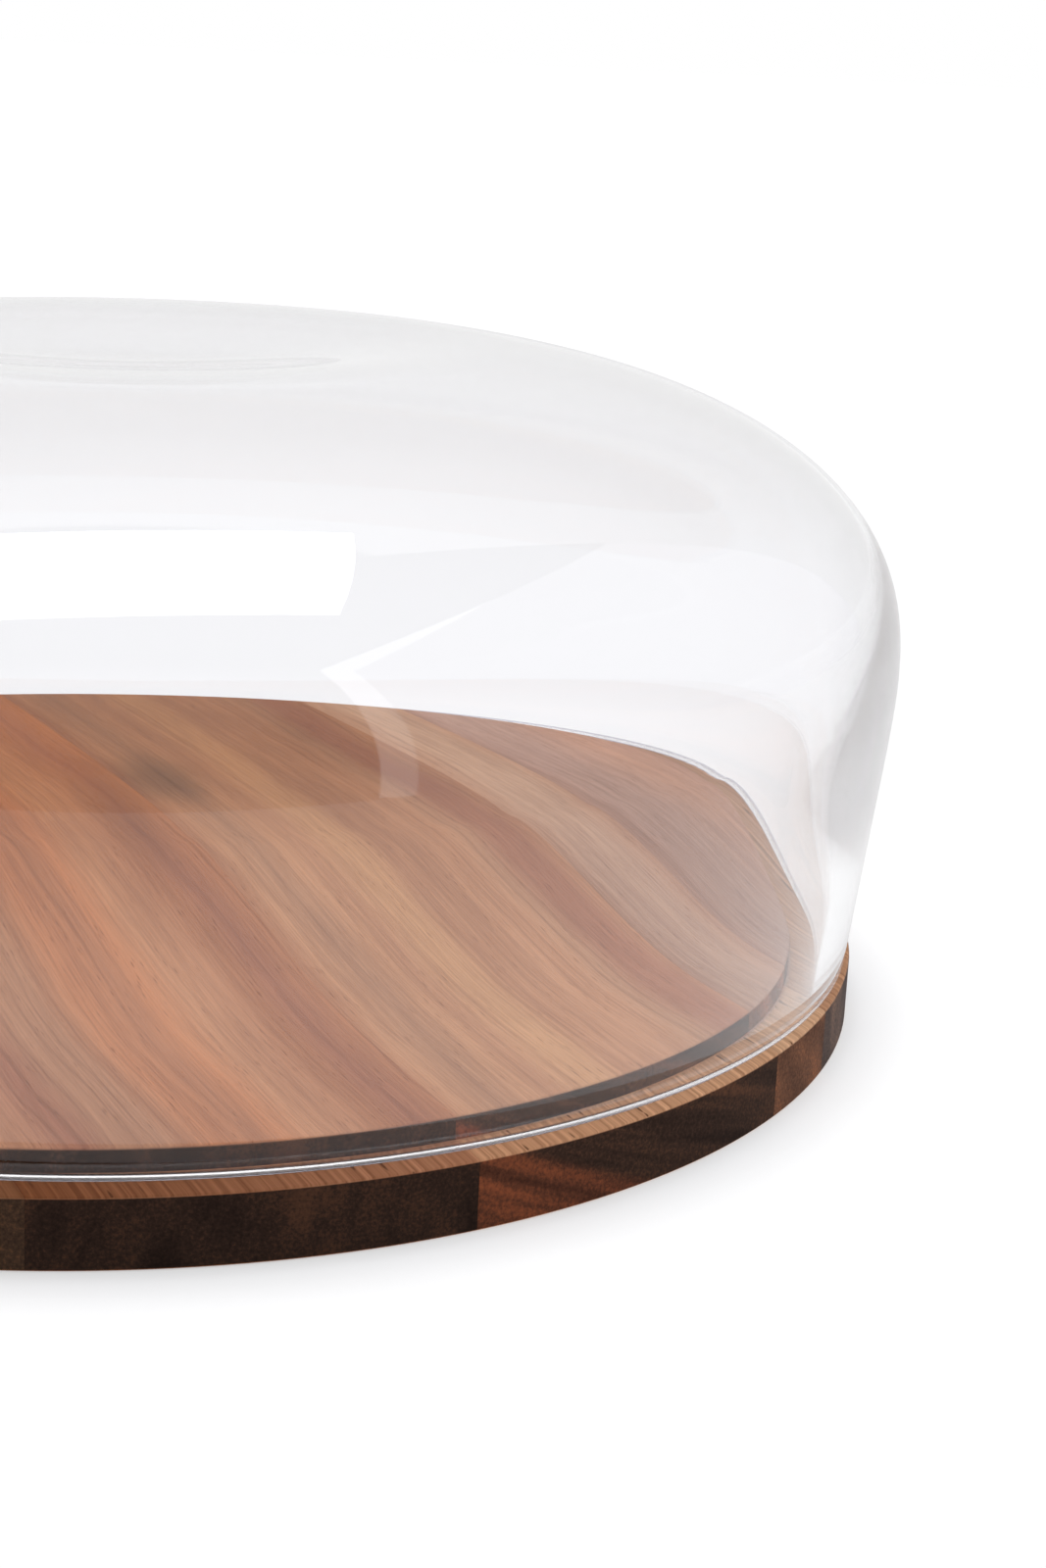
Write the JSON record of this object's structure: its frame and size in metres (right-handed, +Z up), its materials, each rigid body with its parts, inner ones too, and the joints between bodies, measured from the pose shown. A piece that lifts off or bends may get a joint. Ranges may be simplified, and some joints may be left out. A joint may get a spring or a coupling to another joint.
{
  "type": "display dome",
  "caption": "Low blown-glass dome with a dimpled crown that lifts off a round edge-glued wooden board with a raised deck and a rebated ledge.",
  "frame": {"origin": "centre of the board's underside, on the surface that it stands on", "axes": "+Z up, the way the dome lifts; +Y along the wood grain and the glue lines; +X across the staves"},
  "size_m": [0.3065, 0.3064, 0.1246],
  "materials": {
    "clear_glass": "clear, fire polished",
    "stave_1_wood": "oiled acacia",
    "stave_2_wood": "oiled acacia",
    "stave_3_wood": "oiled acacia",
    "stave_4_wood": "oiled acacia",
    "stave_5_wood": "oiled acacia",
    "stave_6_wood": "oiled acacia"
  },
  "bodies": {
    "board": {"stave_1": "stave_1_wood", "stave_2": "stave_2_wood", "stave_3": "stave_3_wood", "stave_4": "stave_4_wood", "stave_5": "stave_5_wood", "stave_6": "stave_6_wood"},
    "dome": {"dome": "clear_glass"}
  },
  "joints": [
    {"name": "dome_lift", "type": "slide", "parent": "board", "child": "dome", "axis": [0, 0, 1], "range_m": [0, 0.12]}
  ]
}
